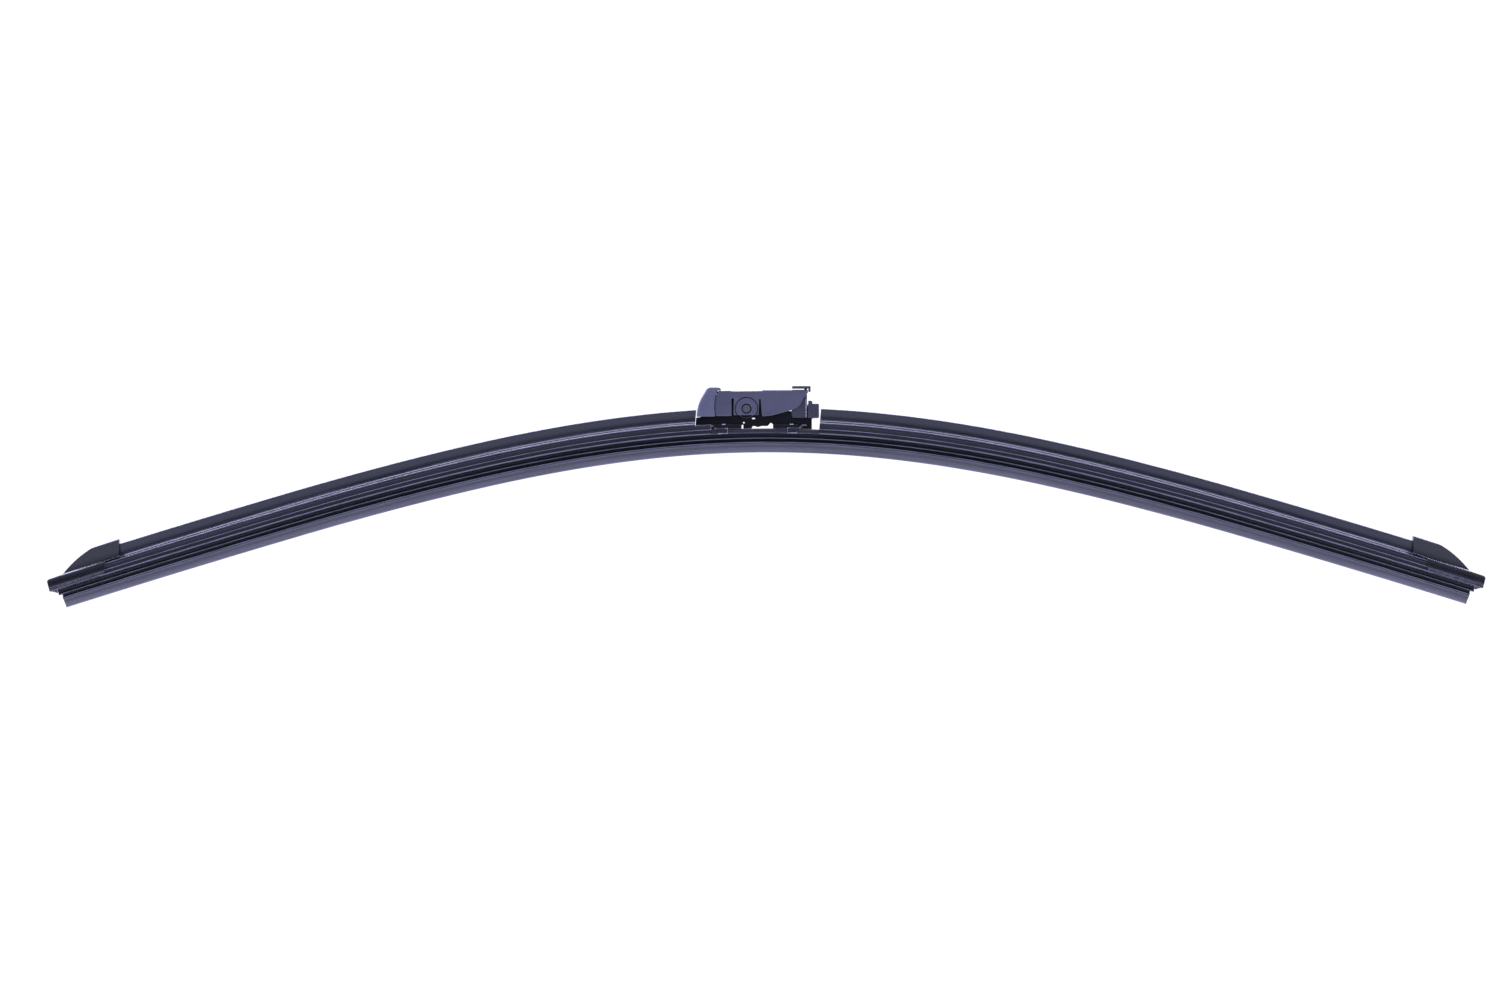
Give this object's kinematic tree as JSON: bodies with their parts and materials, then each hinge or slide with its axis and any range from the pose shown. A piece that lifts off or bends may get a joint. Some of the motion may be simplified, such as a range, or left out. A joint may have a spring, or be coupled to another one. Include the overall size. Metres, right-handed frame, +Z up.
{
  "type": "windshield wiper blade",
  "caption": "Arched flat-beam windshield wiper blade with spring rails, spoilers, end caps and a pivoting quick-lock arm adapter with a release latch.",
  "frame": {"origin": "centre of the pivot pin, where the wiper arm carries the blade", "axes": "+X along the blade, from the nose cap towards the tail cover; +Y across the blade, towards its rear; +Z up, away from the glass"},
  "size_m": [0.6483, 0.0148, 0.0992],
  "materials": {
    "wiping_rubber": "graphite-dusted natural rubber",
    "coated_spring_steel": "black coated spring steel",
    "spoiler_elastomer": "smooth satin elastomer",
    "satin_plastic": "satin moulded plastic",
    "matte_plastic": "fine spark-eroded grain",
    "dark_plastic": "plain matte moulding",
    "latch_plastic": "fine grain with smooth edges",
    "black_steel": "blackened steel, bright at its edges",
    "bright_steel": "zinc plated"
  },
  "bodies": {
    "adapter": {"adapter_body": "matte_plastic", "nose_cap": "matte_plastic", "pivot_bush_front": "dark_plastic", "pivot_bush_rear": "dark_plastic", "latch_pin": "bright_steel", "latch_spring": "bright_steel"},
    "latch": {"release_latch": "latch_plastic"},
    "blade": {"wiper_rubber": "wiping_rubber", "spring_rail_front": "coated_spring_steel", "spring_rail_rear": "coated_spring_steel", "spoiler_left": "spoiler_elastomer", "spoiler_right": "spoiler_elastomer", "end_cap_left": "satin_plastic", "end_cap_right": "satin_plastic", "end_clip_left": "bright_steel", "end_clip_right": "bright_steel", "rail_clamp_left": "black_steel", "rail_clamp_right": "black_steel", "carrier": "dark_plastic", "carrier_rivets": "bright_steel", "tail_cover": "matte_plastic", "pivot_pin": "black_steel"}
  },
  "joints": [
    {"name": "blade_rock", "type": "hinge", "parent": "adapter", "child": "blade", "pos_m": [0, 0, 0], "axis": [0, 1, 0], "range_deg": [-5, 5]},
    {"name": "latch_press", "type": "hinge", "parent": "adapter", "child": "latch", "pos_m": [0.01175, 0, 0.0046], "axis": [0, 1, 0], "range_deg": [0, 2], "stiffness_Nm_per_rad": 0.08, "springref_deg": -2.86, "deforming": ["latch_spring"]}
  ]
}
